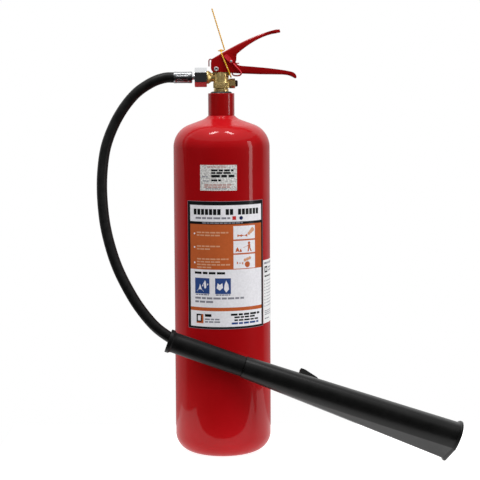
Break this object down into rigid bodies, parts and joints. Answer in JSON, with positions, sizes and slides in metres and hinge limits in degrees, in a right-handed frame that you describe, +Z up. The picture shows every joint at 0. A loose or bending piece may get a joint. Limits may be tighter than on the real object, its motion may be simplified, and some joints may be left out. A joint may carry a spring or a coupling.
{
  "type": "fire extinguisher",
  "caption": "Portable carbon dioxide fire extinguisher: red steel cylinder, squeeze-grip brass valve, rubber hose and black discharge horn.",
  "frame": {"origin": "centre of the cylinder's base, on the plane it stands on", "axes": "+Z up along the cylinder's axis, +X towards the tips of the handles and the horn's mouth, -Y towards the front with the label and the horn"},
  "size_m": [0.5601, 0.2184, 0.7007],
  "materials": {
    "red_paint": "high gloss red enamel",
    "handle_paint": "glossy dark red powder coat",
    "brass": "machined and hot-stamped brass, slightly tarnished",
    "chrome": "bright chrome plate",
    "steel": "bright zinc-plated steel",
    "copper": "thin copper",
    "hose_rubber": "smooth satin black rubber",
    "seal_rubber": "matt black rubber",
    "black_plastic": "fine-grained satin black moulding",
    "cap_plastic": "black cap",
    "red_plastic": "bright red moulding",
    "yellow_plastic": "amber yellow moulding",
    "white_plastic": "white washer",
    "label_print": "printed self-adhesive film",
    "label_silver": "printed silver film",
    "label_white": "printed white film"
  },
  "bodies": {
    "cylinder_and_valve": {"pressure_cylinder": "red_paint", "neck_ring": "red_paint", "neck_seal": "seal_rubber", "valve_body": "brass", "siphon_tube": "steel", "spring_plug": "brass", "valve_spring": "steel", "stem_oring": "seal_rubber", "stem_gland": "brass", "burst_disc": "copper", "burst_nut": "brass", "burst_cap": "cap_plastic", "carry_handle": "handle_paint", "pivot_rivet": "steel", "pin_strap": "red_plastic", "seal_tie": "yellow_plastic", "outlet_washer": "white_plastic", "swivel_nut": "chrome", "main_label": "label_print", "serial_label": "label_silver", "side_label": "label_white"},
    "lever": {"squeeze_lever": "handle_paint"},
    "valve_stem": {"stem": "steel", "poppet": "brass", "poppet_seat": "seal_rubber"},
    "pin": {"safety_pin": "steel", "pin_tab": "red_plastic"},
    "hose_and_horn": {"hose_tail": "steel", "ferrule_valve_end": "chrome", "hose": "hose_rubber", "ferrule_horn_end": "chrome", "gas_nozzle": "brass", "horn_grip": "black_plastic", "horn_nut": "brass", "discharge_horn": "black_plastic"}
  },
  "joints": [
    {"name": "lever_squeeze", "type": "hinge", "parent": "cylinder_and_valve", "child": "lever", "pos_m": [-0.0073, 0, 0.6065], "axis": [0, 1, 0], "range_deg": [0, 20], "stiffness_Nm_per_rad": 2, "springref_deg": -17.19},
    {"name": "stem_press", "type": "slide", "parent": "cylinder_and_valve", "child": "valve_stem", "axis": [0, 0, -1], "range_m": [0, 0.0028], "deforming": ["valve_spring"]},
    {"name": "pin_pull", "type": "slide", "parent": "cylinder_and_valve", "child": "pin", "axis": [0, -1, 0], "range_m": [0, 0.05]},
    {"name": "hose_swivel", "type": "hinge", "parent": "cylinder_and_valve", "child": "hose_and_horn", "pos_m": [-0.0365, 0, 0.5935], "axis": [-1, 0, 0], "range_deg": [0, 170]}
  ],
  "couplings": [
    {"joint": "stem_press", "follows": "lever_squeeze", "m_per_rad": 0.008}
  ]
}
